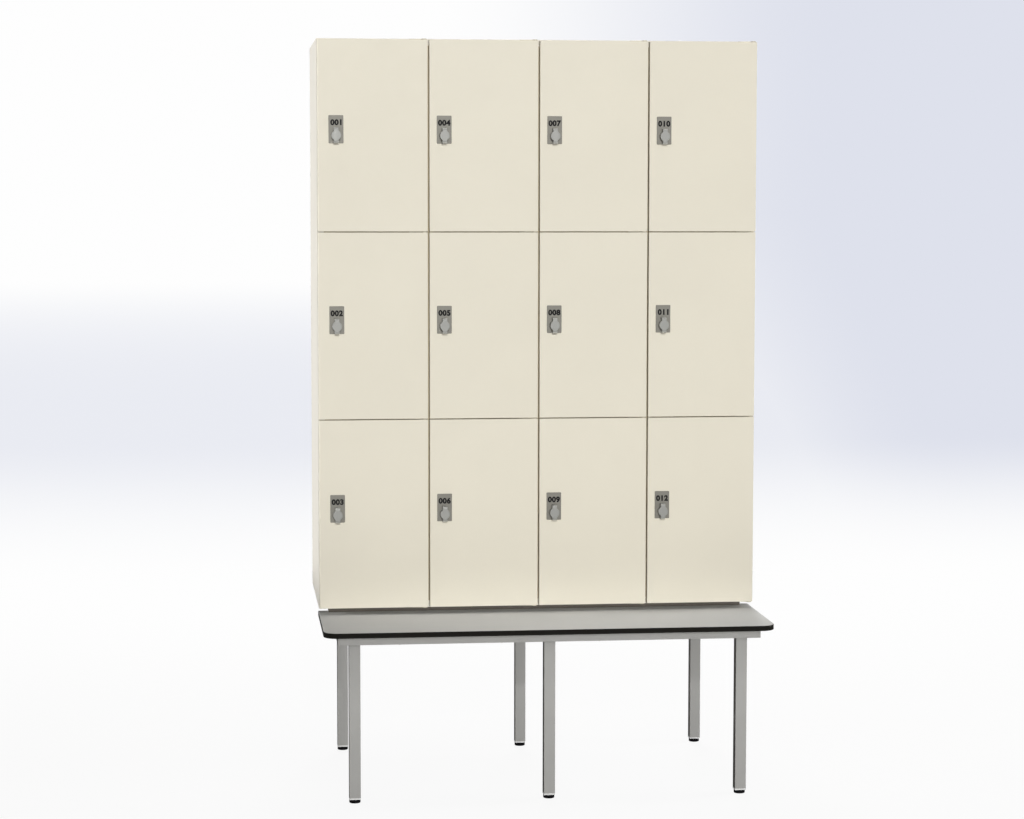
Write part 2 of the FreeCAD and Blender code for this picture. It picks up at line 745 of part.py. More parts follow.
def foot_glide(label, x, y):
    """Round foot with a rounded rim and a stem pressed into the collar."""
    body = new_body(label)
    disc = new_sketch(body, "disc")
    circle(disc, "dims.foot_diameter")
    pad(body, disc, "dims.foot_height")
    rim = edges_where(body, lambda edge: abs(edge.BoundBox.ZMax) < 1e-4)
    round_edges(body, rim, "dims.foot_rounding")
    stem = new_sketch(body, "stem", offset="dims.foot_height")
    circle(stem, "dims.foot_stem_diameter")
    pad(body, stem, "dims.foot_stem_height")
    place(body, x, f"{y} + dims.leg_size / 2", "0")
    return body


def under_every_leg(label, maker):
    members = []
    for row, y in LEG_ROWS.items():
        for number, x in enumerate(LEG_PLACES, start=1):
            members.append(maker(f"{label}_{row}_{number}", x, y))
    return group(label, members)


def leg_row(row):
    members = [leg(f"leg_{row}_{number}", x, LEG_ROWS[row]) for number, x in enumerate(LEG_PLACES, start=1)]
    return group(f"legs_{row}", members)


RAIL_LENGTH = f"(2 * {RAIL_END})"
nodes = [
    side_panel("side_panel_left", -1),
    side_panel("side_panel_right", 1),
    flat_panel("top_panel", f"{CABINET_TOP} - dims.panel_thickness", rebate_above=False),
    flat_panel("bottom_panel", CABINET_LOW, rebate_above=True),
    back_panel(),
    partitions(),
    shelves("shelves_lower", 1),
    shelves("shelves_upper", 2),
    cabinet_base(),
    rear_packer(),
    bench_board(),
    bench_strips(),
    rail("rail_front", RAIL_LENGTH, f"-{RAIL_END}", RAIL_FRONT, 0),
    rail("rail_rear", RAIL_LENGTH, RAIL_END, RAIL_REAR, 180),
    rails_depth(),
    leg_row("front"),
    leg_row("rear"),
    under_every_leg("leg_collars", leg_collar),
    under_every_leg("foot_glides", foot_glide),
    on_every_pivot("pivot_brackets", pivot_bracket),
    on_every_pivot("pivot_pins", pivot_pin),
    door_buffers(),
    strike_plates(),
]
# Compartments are numbered down each column, from the left
for column in range(COLUMNS):
    for step, tier in enumerate(reversed(range(TIERS)), start=1):
        number = f"{column * TIERS + step:02d}"
        nodes.append(door(f"door_{number}", column, tier))
        nodes.append(lock_case(f"lock_{number}", column, tier))
        nodes.append(turn_latch(f"turn_latch_{number}", column, tier))

doc.recompute()
for item in doc.Objects:
    if {"Invalid", "Error"} & set(item.State):
        raise RuntimeError(f"{item.Label} failed: {item.State}")
    if item.TypeId == "PartDesign::Pocket" and item.BaseFeature.Shape.Volume - item.Shape.Volume < 1e-3:
        raise RuntimeError(f"{item.Label} cuts nothing")
for node in nodes:
    if node.Shape.isNull() or not node.Shape.isValid():
        raise RuntimeError(f"{node.Label} has no valid shape")
os.makedirs("parts", exist_ok=True)
for node in nodes:
    node.Shape.exportStep(f"parts/{node.Label}.step")
print(f"{len(nodes)} nodes written")
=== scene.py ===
import json
import math

import bmesh
import bpy
from mathutils import Matrix, Vector

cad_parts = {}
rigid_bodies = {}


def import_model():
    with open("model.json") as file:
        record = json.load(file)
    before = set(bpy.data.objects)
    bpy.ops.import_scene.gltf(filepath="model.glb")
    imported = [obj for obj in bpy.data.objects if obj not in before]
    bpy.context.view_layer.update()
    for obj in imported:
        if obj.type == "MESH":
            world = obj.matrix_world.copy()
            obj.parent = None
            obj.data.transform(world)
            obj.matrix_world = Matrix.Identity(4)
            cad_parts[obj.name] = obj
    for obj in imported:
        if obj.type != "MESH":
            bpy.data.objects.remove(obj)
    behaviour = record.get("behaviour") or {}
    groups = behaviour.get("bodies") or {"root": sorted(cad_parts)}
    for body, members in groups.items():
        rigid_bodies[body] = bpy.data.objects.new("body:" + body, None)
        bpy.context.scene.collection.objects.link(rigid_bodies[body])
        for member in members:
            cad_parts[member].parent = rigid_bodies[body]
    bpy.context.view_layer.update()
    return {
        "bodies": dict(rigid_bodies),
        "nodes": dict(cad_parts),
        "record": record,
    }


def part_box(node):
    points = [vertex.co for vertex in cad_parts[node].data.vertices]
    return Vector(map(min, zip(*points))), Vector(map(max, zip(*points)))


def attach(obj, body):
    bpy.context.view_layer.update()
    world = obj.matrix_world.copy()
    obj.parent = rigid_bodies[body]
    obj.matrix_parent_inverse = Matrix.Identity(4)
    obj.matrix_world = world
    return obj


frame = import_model()

# Camera, fitted to the edges of the photograph. Angles in radians, places in metres.
CAMERA_PLACE = (-0.86634, -6.96671, 1.58912)
CAMERA_YAW = 0.11498
CAMERA_PITCH = 0.08196
CAMERA_ROLL = 0.00103
CAMERA_REACH = 500.0
FOCAL_PIXELS = 2545.44
IMAGE_WIDTH = 1024
SENSOR_WIDTH = 36.0

# Textures: shift from piece to piece in metres, rays for soft edges, cosines that tell an edge's normal
PLACE_SHIFT = 9.0
EDGE_SAMPLES = 6
EDGE_TURN = (0.86, 0.995)

# Board of the cabinet, in display steps, and how far a surface faces forward to take the darker beige front
# edging, painted shade for the gaps between the doors
BOARD_WHITE = (232, 228, 218)
GAP_SHADE_BEIGE = (184, 170, 140)
GAP_SHADE_FACING = -0.5

# Compact seat board: thin skins on a dark core
SKIN = 0.0001

# Knob grips: how far a tip's surface turns up or down, and forward, to take a painted highlight that lifts
# the shade on the grip ends
LIT_TIP_TURN = (0.15, 0.6)
LIT_TIP_FORWARD = (0.0, -0.2)

# Numbers on the lock plates
NUMBER_WIDTH = 0.0335
NUMBER_HEIGHT = 0.0161
NUMBER_BELOW_TOP = 0.0191
NUMBER_RAISED = 0.00012
NUMBER_FORWARD = NUMBER_RAISED / 4
NUMBER_WEIGHT = 0.055
NUMBER_SPACING = 1.1
NUMBER_STEPS = 8

# Screw heads: radius and height, then the outline of the head and its cross recess as shares of these
BRACKET_SCREW = (0.0034, 0.0009)
STRIKE_SCREW = (0.0033, 0.0010)
FRAME_SCREW = (0.0050, 0.0024)
HEAD_STEPS = 24
HEAD_OUTLINE = ((1.0, 0.0), (1.0, 0.30), (0.93, 0.62), (0.78, 0.86), (0.60, 1.0))
CROSS_ARM = 0.48
CROSS_HALF = 0.11
CROSS_TAPER = 0.70
CROSS_DEPTH = 0.75
TURN_STEP = 0.61

# Places of the screws on their pieces
FIRST_COLUMN = ("03", "02", "01")
TOP_TIER = ("01", "04", "07", "10")
PIVOT_INSET = 0.009
BRACKET_REACH = (0.017, 0.033)
BRACKET_TALL = 0.016
BRACKET_PLATE = 0.002
STRIKE_SPACING = 0.018
STRIKE_INSET = 0.010
STRIKE_FACE = 0.011
LOCK_AXIS = 0.021
FRAME_SCREWS = (-0.40, -0.13, 0.13, 0.40)

# Weld beads of the frame. The swell and the blunt ends are shares of the radius and the length.
WELD_RADIUS = 0.0022
WELD_RIPPLE = 0.0016
WELD_SWELL = 0.14
WELD_END = 0.04
WELD_SIDES = 10
WELD_FEWEST_RINGS = 6
LEG_SIDE = 0.030

# Background: white, and a cool tone in display steps that comes in towards the right and far behind
WHITE = (0.99, 0.99, 0.99, 1.0)
COOL_STEPS = (222, 225, 236)
COOL_FAN = (0.08, 0.24)
COOL_FAN_START = 7.0
COOL_BEHIND = (3.5, 10.0)
COOL_FADE = (45.0, 12.0)
COOL_KEPT = 0.66
AMBIENT = 0.11
AMBIENT_TINT = (1.0, 0.99, 0.97, 1.0)

# Floor: share of the shadow that shows and where it ends, then the tone seen and the bounced tones: painted
# shade under the object and a painted pool of light in front
FLOOR_SIZE = 800.0
FLOOR_DROP = 0.0004
FLOOR_ROUGHNESS = 0.9
FLOOR_SHADOW = 0.07
SHADOW_REACH = (1.2, 4.0)
FLOOR_PALE = (0.95, 0.95, 0.95, 1.0)
BOUNCE_PAINTED_SHADE = (0.22, 0.22, 0.22, 1.0)
BOUNCE_PAINTED_POOL = (0.6, 0.6, 0.59, 1.0)
BOUNCE_CHANGE = (-0.45, -0.9)

# Soft boxes, with the spread of the beam in degrees
SOFT_BOXES = {
    "front": dict(place=(0.8, -20.0, 1.8), aim=(0.0, -0.1, 1.0), sides=(2.4, 3.0), spread=179, watts=1300.0),
    "over": dict(place=(-0.3, -0.3, 4.4), aim=(-0.3, -0.25, 0.46), sides=(2.8, 0.6), spread=40, watts=1.95),
    "right": dict(place=(3.8, 0.3, 2.2), aim=(0.6, 0.15, 1.3), sides=(1.8, 1.8), spread=120, watts=30.0),
    "back": dict(place=(0.4, 5.0, 2.4), aim=(0.0, 0.4, 1.2), sides=(2.4, 2.4), spread=179, watts=185.0),
    "roof": dict(place=(0.0, 1.8, 4.4), aim=(0.0, 0.15, 2.0), sides=(1.2, 0.6), spread=40, watts=3.0),
}

# Spots, with half the angle of the beam in degrees and the soft share of its rim
SPOTS = {
    "doors": dict(place=(-0.7, -14.0, 5.4), aim=(0.0, -0.1, 5.3), half_angle=20.6, rim=0.22, radius=0.35,
                  watts=4100.0),
    "legs": dict(place=(3.6, -16.0, 0.26), aim=(0.0, 0.0, -7.584), half_angle=26.38, rim=0.025, radius=0.16,
                 watts=4920.0),
    "left": dict(place=(-6.0, 0.25, 1.6), aim=(-0.6, 0.25, 2.4), half_angle=20.9, rim=0.09, radius=0.12,
                 watts=1050.0),
}


def paint(red, green, blue):
    """Linear colour of a display colour given in steps of 255."""
    linear = []
    for step in (red, green, blue):
        share = step / 255.0
        linear.append(share / 12.92 if share <= 0.04045 else ((share + 0.055) / 1.055) ** 2.4)
    return (*linear, 1.0)


def shade(colour, share):
    """The colour made lighter or darker."""
    return (colour[0] * share, colour[1] * share, colour[2] * share, 1.0)


class Graph:
    """The nodes of one material, joined as they are made."""

    def __init__(self, name, **finish):
        self.material = bpy.data.materials.new(name)
        self.material.use_nodes = True
        self.tree = self.material.node_tree
        self.shader = self.tree.nodes["Principled BSDF"]
        for socket, value in finish.items():
            self.shader.inputs[socket.replace("_", " ")].default_value = value
        self.place = self.own_place()

    def put(self, socket, value):
        """A link or a plain value into a socket."""
        if isinstance(value, bpy.types.NodeSocket):
            self.tree.links.new(value, socket)
        else:
            socket.default_value = value

    def node(self, kind, inputs=(), **settings):
        made = self.tree.nodes.new(kind)
        for name, value in settings.items():
            setattr(made, name, value)
        for key, value in dict(inputs).items():
            self.put(made.inputs[key], value)
        return made

    def math(self, operation, first, second=0.0):
        return self.node("ShaderNodeMath", {0: first, 1: second}, operation=operation).outputs[0]

    def own_place(self):
        """Place on the piece in metres, moved by a different amount for every piece."""
        place = self.node("ShaderNodeTexCoord").outputs["Object"]
        chance = self.node("ShaderNodeObjectInfo").outputs["Random"]
        shift = self.math("MULTIPLY", chance, PLACE_SHIFT)
        return self.node("ShaderNodeVectorMath", {0: place, 1: shift}, operation="ADD").outputs[0]

    def local(self, kind, axis):
        """One part of the piece's own place ("Object") or facing ("Normal")."""
        whole = self.node("ShaderNodeTexCoord").outputs[kind]
        return self.node("ShaderNodeSeparateXYZ", {0: whole}).outputs[axis]

    def height_above(self, level):
        return self.math("SUBTRACT", self.local("Object", "Z"), level)

    def noise(self, scale, detail=2.0, stretch=None):
        place = self.place
        if stretch is not None:
            place = self.node("ShaderNodeVectorMath", {0: place, 1: stretch}, operation="MULTIPLY").outputs[0]
        return self.node("ShaderNodeTexNoise", {"Vector": place, "Scale": scale, "Detail": detail}).outputs[0]

    def spread(self, value, low, high, start=0.3, stop=0.7):
        """The value's middle part stretched between two bounds."""
        keys = {"Value": value, "From Min": start, "From Max": stop, "To Min": low, "To Max": high}
        return self.node("ShaderNodeMapRange", keys).outputs[0]

    def ease(self, value, start, stop):
        """From 0 to 1 in a soft S between two values."""
        keys = {"Value": value, "From Min": start, "From Max": stop, "To Min": 0.0, "To Max": 1.0}
        return self.node("ShaderNodeMapRange", keys, interpolation_type="SMOOTHSTEP").outputs[0]

    def blend(self, share, first, second):
        made = self.node("ShaderNodeMix", data_type="RGBA")
        for socket, value in zip((made.inputs[0], made.inputs[6], made.inputs[7]), (share, first, second)):
            self.put(socket, value)
        return made.outputs[2]

    def mottle(self, colour, amount, scale, detail=3.0):
        """The colour with faint clouds in it."""
        share = self.spread(self.noise(scale, detail), 0.0, 1.0)
        return self.blend(share, shade(colour, 1.0 - amount), shade(colour, 1.0 + amount))

    def fleck(self, under, colour, amount, scale):
        """Fine flecks of a colour over what lies under them."""
        return self.blend(self.spread(self.noise(scale), 0.0, amount), under, colour)

    def soft_edge(self, radius):
        """Normal that turns smoothly round the sharp edges."""
        return self.node("ShaderNodeBevel", {"Radius": radius}, samples=EDGE_SAMPLES).outputs[0]

    def edge_share(self, radius):
        """1 on the sharp edges and 0 away from them."""
        flat = self.node("ShaderNodeNewGeometry").outputs["Normal"]
        pair = {0: flat, 1: self.soft_edge(radius)}
        likeness = self.node("ShaderNodeVectorMath", pair, operation="DOT_PRODUCT").outputs["Value"]
        return self.spread(likeness, 1.0, 0.0, *EDGE_TURN)

    def rub_edges(self, under, colour, amount, radius):
        """Another colour along the sharp edges."""
        return self.blend(self.math("MULTIPLY", self.edge_share(radius), amount), under, colour)

    def roughness(self, low, high, scale, detail=2.0):
        """Roughness that wanders between two bounds."""
        return self.spread(self.noise(scale, detail), low, high)

    def bump(self, height, depth, normal=None):
        keys = {"Height": height, "Distance": depth, "Strength": 1.0}
        if normal is not None:
            keys["Normal"] = normal
        return self.node("ShaderNodeBump", keys).outputs[0]

    def relief(self, scale, depth, detail=2.0, round_edge=None):
        """Fine relief, on sharp edges that look rounded where a radius is given."""
        normal = None if round_edge is None else self.soft_edge(round_edge)
        return self.bump(self.noise(scale, detail), depth, normal)

    def finish(self, colour, rough=None, normal=None):
        self.put(self.shader.inputs["Base Color"], colour)
        if rough is not None:
            self.put(self.shader.inputs["Roughness"], rough)
        if normal is not None:
            self.put(self.shader.inputs["Normal"], normal)
        return self.material


def laminate(name, colour, edging, gloss, front=None):
    """Matt board laminate: fine pebble, faint clouds, an edging of a slightly different tone, and where a
    front colour is given, a painted shade on the faces that look forward.
    """
    graph = Graph(name, Specular_IOR_Level=gloss)
    clouds = graph.mottle(colour, amount=0.012, scale=5.0)
    specks = graph.fleck(clouds, shade(colour, 0.72), amount=0.05, scale=420.0)
    worn = graph.rub_edges(specks, edging, amount=0.55, radius=0.0012)
    # Painted shade: forward faces of the inner boards take a darker beige that stands in for the shade seen
    # in the gaps between the doors.
    if front is not None:
        forward = graph.math("LESS_THAN", graph.local("Normal", "Y"), GAP_SHADE_FACING)
        worn = graph.blend(forward, worn, front)
    rough = graph.roughness(low=0.44, high=0.54, scale=70.0)
    pebble = graph.relief(scale=900.0, depth=0.00004, detail=1.0, round_edge=0.0006)
    return graph.finish(worn, rough, pebble)


def door_laminate():
    cream = paint(226, 220, 203)
    return laminate("door_laminate", cream, shade(cream, 0.90), gloss=0.2)


def carcass_board():
    white = paint(*BOARD_WHITE)
    return laminate("carcass_board", white, shade(white, 0.92), gloss=0.0)


def edged_board():
    """White board with a darker beige front edge, painted shade for the gaps between the doors."""
    white = paint(*BOARD_WHITE)
    return laminate("edged_board", white, shade(white, 0.92), gloss=0.0, front=paint(*GAP_SHADE_BEIGE))


def base_board():
    dark = paint(103, 98, 90)
    return laminate("base_board", dark, shade(dark, 0.8), gloss=0.05)


def bench_laminate():
    """Compact laminate: grey skins with a fine grain on a dark core that shows along the edges."""
    graph = Graph("bench_laminate", Specular_IOR_Level=0.03)
    low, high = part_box("bench_board")
    grey = paint(206, 206, 204)
    clouds = graph.mottle(grey, amount=0.018, scale=6.0)
    grains = graph.fleck(clouds, shade(grey, 0.66), amount=0.10, scale=520.0)
    above = graph.math("GREATER_THAN", graph.height_above(low.z), SKIN)
    below = graph.math("LESS_THAN", graph.height_above(high.z), -SKIN)
    inside = graph.math("MULTIPLY", above, below)
    core = graph.mottle(paint(27, 26, 23), amount=0.12, scale=240.0)
    rough = graph.roughness(low=0.60, high=0.70, scale=90.0)
    grain = graph.relief(scale=1100.0, depth=0.00004, detail=1.0, round_edge=0.0006)
    return graph.finish(graph.blend(inside, grains, core), rough, grain)


def bedding_rubber():
    graph = Graph("bedding_rubber", Specular_IOR_Level=0.05)
    colour = graph.mottle(paint(48, 47, 45), amount=0.10, scale=90.0)
    rough = graph.roughness(low=0.7, high=0.85, scale=200.0)
    return graph.finish(colour, rough, graph.relief(scale=1500.0, depth=0.00005))


def frame_steel():
    """Powder-coated tube: orange peel, with the coat worn a little lighter along the edges."""
    graph = Graph("frame_steel", Specular_IOR_Level=0.0)
    grey = paint(163, 162, 159)
    coat = graph.mottle(grey, amount=0.025, scale=14.0)
    flakes = graph.fleck(coat, shade(grey, 1.25), amount=0.10, scale=900.0)
    worn = graph.rub_edges(flakes, shade(grey, 1.22), amount=0.35, radius=0.0016)
    rough = graph.roughness(low=0.42, high=0.54, scale=60.0)
    peel = graph.relief(scale=420.0, depth=0.00008, detail=1.0, round_edge=0.0008)
    return graph.finish(worn, rough, peel)


def collar_plastic():
    graph = Graph("collar_plastic", Specular_IOR_Level=0.35)
    colour = graph.mottle(paint(212, 212, 210), amount=0.02, scale=60.0)
    rough = graph.roughness(low=0.40, high=0.52, scale=150.0)
    return graph.finish(colour, rough, graph.relief(scale=1300.0, depth=0.00003))


def foot_plastic():
    graph = Graph("foot_plastic", Specular_IOR_Level=0.01)
    black = graph.mottle(paint(19, 19, 21), amount=0.15, scale=120.0)
    worn = graph.rub_edges(black, paint(34, 34, 34), amount=0.5, radius=0.0012)
    rough = graph.roughness(low=0.42, high=0.6, scale=160.0)
    return graph.finish(worn, rough, graph.relief(scale=1600.0, depth=0.00006))


def pivot_steel():
    """Satin yellow-zinc steel with a faint cloudy plating."""
    graph = Graph("pivot_steel", Metallic=0.25, Specular_IOR_Level=0.05)
    zinc = paint(194, 186, 164)
    clouds = graph.spread(graph.noise(scale=70.0, detail=4.0), 0.0, 1.0)
    plating = graph.blend(clouds, shade(zinc, 0.90), paint(202, 195, 176))
    bright = graph.rub_edges(plating, paint(212, 206, 190), amount=0.5, radius=0.0010)
    rough = graph.roughness(low=0.40, high=0.54, scale=240.0, detail=3.0)
    return graph.finish(bright, rough, graph.relief(scale=700.0, depth=0.00003, round_edge=0.0003))


def buffer_rubber():
    graph = Graph("buffer_rubber", Specular_IOR_Level=0.4)
    colour = graph.mottle(paint(196, 194, 188), amount=0.03, scale=300.0)
    rough = graph.roughness(low=0.35, high=0.5, scale=300.0)
    return graph.finish(colour, rough, graph.relief(scale=2500.0, depth=0.00003))


def brushed_metal(name, colour, low_rough, high_rough, along, lit_tips=None):
    """Satin metal with fine straight brush marks and edges rubbed brighter, and a painted highlight on the
    grip ends that face up and down, where their shade is lifted.
    """
    graph = Graph(name, Metallic=0.35, Specular_IOR_Level=0.1)
    marks = graph.noise(scale=260.0, detail=3.0, stretch=along)
    streaks = graph.blend(graph.spread(marks, 0.0, 1.0), shade(colour, 0.95), shade(colour, 1.05))
    clouds = graph.fleck(streaks, shade(colour, 0.75), amount=0.10, scale=45.0)
    rubbed_and_lit = graph.rub_edges(clouds, shade(colour, 1.35), amount=0.6, radius=0.0007)
    # Painted highlight: grip ends facing up or down are painted lighter, the lower end more, to lift the
    # shade they get from the lamps.
    if lit_tips is not None:
        forward = graph.ease(graph.local("Normal", "Y"), *LIT_TIP_FORWARD)
        upward = graph.local("Normal", "Z")
        for side, bright in zip((1.0, -1.0), lit_tips):
            lit_tip = graph.ease(upward, *(side * turn for turn in LIT_TIP_TURN))
            rubbed_and_lit = graph.blend(graph.math("MULTIPLY", lit_tip, forward), rubbed_and_lit, shade(colour, bright))
    rough = graph.spread(marks, low_rough, high_rough)
    brushing = graph.bump(marks, depth=0.00003, normal=graph.soft_edge(radius=0.0004))
    return graph.finish(rubbed_and_lit, rough, brushing)


def lock_metal():
    grey = paint(116, 114, 107)
    return brushed_metal("lock_metal", grey, low_rough=0.48, high_rough=0.60, along=(0.08, 1.0, 3.0))


def knob_metal():
    grey = paint(131, 131, 127)
    # The grip ends get a painted highlight, stronger on the lower end, which faces away from the light.
    return brushed_metal("knob_metal", grey, low_rough=0.44, high_rough=0.56, along=(3.0, 1.0, 0.08),
                         lit_tips=(1.5, 2.2))


def number_ink():
    graph = Graph("number_ink", Specular_IOR_Level=0.05)
    colour = graph.mottle(paint(20, 19, 20), amount=0.12, scale=500.0)
    return graph.finish(colour, graph.roughness(low=0.40, high=0.6, scale=800.0))


FINISHES = (
    door_laminate, carcass_board, base_board, bench_laminate, bedding_rubber, frame_steel,
    collar_plastic, foot_plastic, pivot_steel, buffer_rubber, lock_metal, knob_metal,
)
materials = {finish.__name__: finish() for finish in FINISHES}
ink = number_ink()


def dress_nodes():
    """Every CAD node takes the material of its slot in the record, and the inner boards get their darker
    front edging, painted shade for the door gaps.
    """
    for row in frame["record"]["subparts"]:
        for slot in frame["nodes"][row["node"]].material_slots:
            slot.material = materials[row["material_slot"]]
    gap_shaded = edged_board()
    for name in ("partitions", "shelves_lower", "shelves_upper"):
        frame["nodes"][name].material_slots[0].material = gap_shaded


def mesh_of(work):
    """The finished mesh of a bmesh."""
    mesh = bpy.data.meshes.new("piece")
    work.to_mesh(mesh)
    work.free()
    return mesh


def add_piece(name, mesh, material, body):
    """A new mesh object with one material that rides on a body."""
    mesh.materials.clear()
    mesh.materials.append(material)
    piece = bpy.data.objects.new(name, mesh)
    bpy.context.scene.collection.objects.link(piece)
    bpy.context.view_layer.update()
    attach(piece, body)


def text_mesh(words):
    """Flat letters in the XY plane with a little thickness, one unit high."""
    letters = bpy.data.curves.new("letters", "FONT")
    letters.body = words
    letters.bevel_depth = NUMBER_WEIGHT
    letters.space_character = NUMBER_SPACING
    letters.resolution_u = NUMBER_STEPS
    holder = bpy.data.objects.new("letters", letters)
    bpy.context.scene.collection.objects.link(holder)
    bpy.context.view_layer.update()
    shown = holder.evaluated_get(bpy.context.evaluated_depsgraph_get())
    mesh = bpy.data.meshes.new_from_object(shown)
    bpy.data.objects.remove(holder)
    bpy.data.curves.remove(letters)
    return mesh


def mesh_span(mesh, axis):
    """Lowest and highest place along an axis."""
    places = [vertex.co[axis] for vertex in mesh.vertices]
    return min(places), max(places)


def add_numbers():
    """A raised plain number on the upper part of every lock plate."""
    sample = text_mesh("000")
    left, right = mesh_span(sample, 0)
    bottom, top = mesh_span(sample, 1)
    back, front = mesh_span(sample, 2)
    bpy.data.meshes.remove(sample)
    across = NUMBER_WIDTH / (right - left)
    upright = NUMBER_HEIGHT / (top - bottom)
    size = Matrix.Diagonal((across, upright, NUMBER_RAISED / (front - back), 1.0))
    face = Matrix.Rotation(math.pi / 2, 4, "X")
    for name in sorted(frame["bodies"]):
        if not name.startswith("door_"):
            continue
        mark = name.removeprefix("door_")
        low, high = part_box("lock_" + mark)
        mesh = text_mesh(f"{int(mark):03d}")
        centre = Matrix.Translation((-sum(mesh_span(mesh, 0)) / 2, -(bottom + top) / 2, 0.0))
        place = ((low.x + high.x) / 2, low.y - NUMBER_FORWARD, high.z - NUMBER_BELOW_TOP)
        mesh.transform(Matrix.Translation(place) @ face @ size @ centre)
        add_piece("number_" + mark, mesh, ink, name)


def screw_head(radius, height):
    """A domed head with a cross recess. Its seat is the XY plane."""
    head = bmesh.new()
    turns = [2 * math.pi * step / HEAD_STEPS for step in range(HEAD_STEPS)]
    rings = []
    for out, up in HEAD_OUTLINE:
        reach = radius * out
        rings.append([head.verts.new((reach * math.cos(turn), reach * math.sin(turn), height * up))
                      for turn in turns])
    arm, half = radius * CROSS_ARM, radius * CROSS_HALF
    quarter = ((arm, -half), (arm, half), (half, half))
    outline = []
    for _ in range(4):
        outline.extend(quarter)
        quarter = [(-y, x) for x, y in quarter]
    rim = [head.verts.new((x, y, height)) for x, y in outline]
    depth = height * (1.0 - CROSS_DEPTH)
    bottom = [head.verts.new((x * CROSS_TAPER, y * CROSS_TAPER, depth)) for x, y in outline]
    for lower, upper in (*zip(rings, rings[1:]), (rim, bottom)):
        for step in range(len(lower)):
            head.faces.new((lower[step - 1], lower[step], upper[step], upper[step - 1]))
    head.faces.new(bottom)
    head.faces.new(rings[0])
    open_edges = [edge for edge in head.edges if edge.is_boundary]
    bmesh.ops.triangle_fill(head, edges=open_edges, use_beauty=True)
    bmesh.ops.recalc_face_normals(head, faces=head.faces)
    return mesh_of(head)


def add_screws(name, size, places, facing):
    """Equal screws at the given places, each turned a little differently."""
    head = screw_head(*size)
    joined = bmesh.new()
    for number, place in enumerate(places):
        copy = head.copy()
        copy.transform(Matrix.Translation(place) @ facing @ Matrix.Rotation(number * TURN_STEP, 4, "Z"))
        joined.from_mesh(copy)
        bpy.data.meshes.remove(copy)
    bpy.data.meshes.remove(head)
    add_piece(name, mesh_of(joined), materials["pivot_steel"], "locker")


def add_bracket_screws():
    """Two screws through the flange of every pivot bracket."""
    low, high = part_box("pivot_brackets")
    tiers = [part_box("door_" + mark) for mark in FIRST_COLUMN]
    levels = [low.z + BRACKET_TALL / 2, high.z - BRACKET_TALL / 2]
    for lower, upper in zip(tiers, tiers[1:]):
        levels.append((lower[1].z + upper[0].z) / 2)
    pivots = [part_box("door_" + mark)[1].x - PIVOT_INSET for mark in TOP_TIER]
    places = [(pivot - reach, high.y - BRACKET_PLATE, level)
              for pivot in pivots for level in levels for reach in BRACKET_REACH]
    add_screws("bracket_screws", BRACKET_SCREW, places, Matrix.Rotation(math.pi / 2, 4, "X"))


def add_strike_screws():
    """Two screws through every strike plate, one above the other."""
    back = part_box("strike_plates")[1].y - STRIKE_INSET
    places = []
    for name in sorted(frame["nodes"]):
        if name.startswith("lock_"):
            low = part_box(name)[0]
            for side in (-0.5, 0.5):
                places.append((low.x - STRIKE_FACE, back, low.z + LOCK_AXIS + side * STRIKE_SPACING))
    add_screws("strike_screws", STRIKE_SCREW, places, Matrix.Rotation(math.pi / 2, 4, "Y"))


def add_frame_screws():
    """Screws up through the long rails into the seat and the packing strip."""
    places = []
    for name in ("rail_front", "rail_rear"):
        low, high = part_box(name)
        places.extend((across, (low.y + high.y) / 2, low.z) for across in FRAME_SCREWS)
    add_screws("frame_screws", FRAME_SCREW, places, Matrix.Rotation(math.pi, 4, "X"))


def lay_bead(work, start, stop):
    """A rippled weld bead along a straight line, closed at both ends."""
    start, stop = Vector(start), Vector(stop)
    along = stop - start
    turn = along.to_track_quat("Z", "X").to_matrix()
    count = max(WELD_FEWEST_RINGS, round(along.length / WELD_RIPPLE) * 2)
    rings = []
    for step in range(count + 1):
        share = step / count
        swell = 1.0 - WELD_SWELL + WELD_SWELL * (step % 2)
        arch = math.sin(math.pi * (WELD_END + (1.0 - 2 * WELD_END) * share))
        radius = WELD_RADIUS * swell * math.sqrt(arch)
        ring = []
        for side in range(WELD_SIDES):
            angle = 2 * math.pi * side / WELD_SIDES
            flat = Vector((radius * math.cos(angle), radius * math.sin(angle), 0.0))
            ring.append(work.verts.new(start + along * share + turn @ flat))
        rings.append(ring)
    for lower, upper in zip(rings, rings[1:]):
        for side in range(WELD_SIDES):
            work.faces.new((lower[side - 1], lower[side], upper[side], upper[side - 1]))
    work.faces.new(rings[0])
    work.faces.new(rings[-1])


def add_welds():
    """Beads where the legs meet the long rails, the side rails and the middle rail."""
    work = bmesh.new()
    half = LEG_SIDE / 2
    for row, rail, inward in (("legs_front", "rail_front", 1), ("legs_rear", "rail_rear", -1)):
        low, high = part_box(row)
        rail_low, rail_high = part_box(rail)
        joint = rail_high.y if inward > 0 else rail_low.y
        far = joint + inward * LEG_SIDE
        for corner in (low.x + LEG_SIDE, -half, half, high.x - LEG_SIDE):
            lay_bead(work, (corner, joint, rail_low.z), (corner, joint, rail_high.z))
        for corner in (low.x, high.x):
            lay_bead(work, (corner, joint, rail_low.z), (corner, far, rail_low.z))
        lay_bead(work, (-half, far, rail_low.z), (half, far, rail_low.z))
    bmesh.ops.recalc_face_normals(work, faces=work.faces)
    for face in work.faces:
        face.smooth = True
    add_piece("weld_beads", mesh_of(work), materials["frame_steel"], "locker")


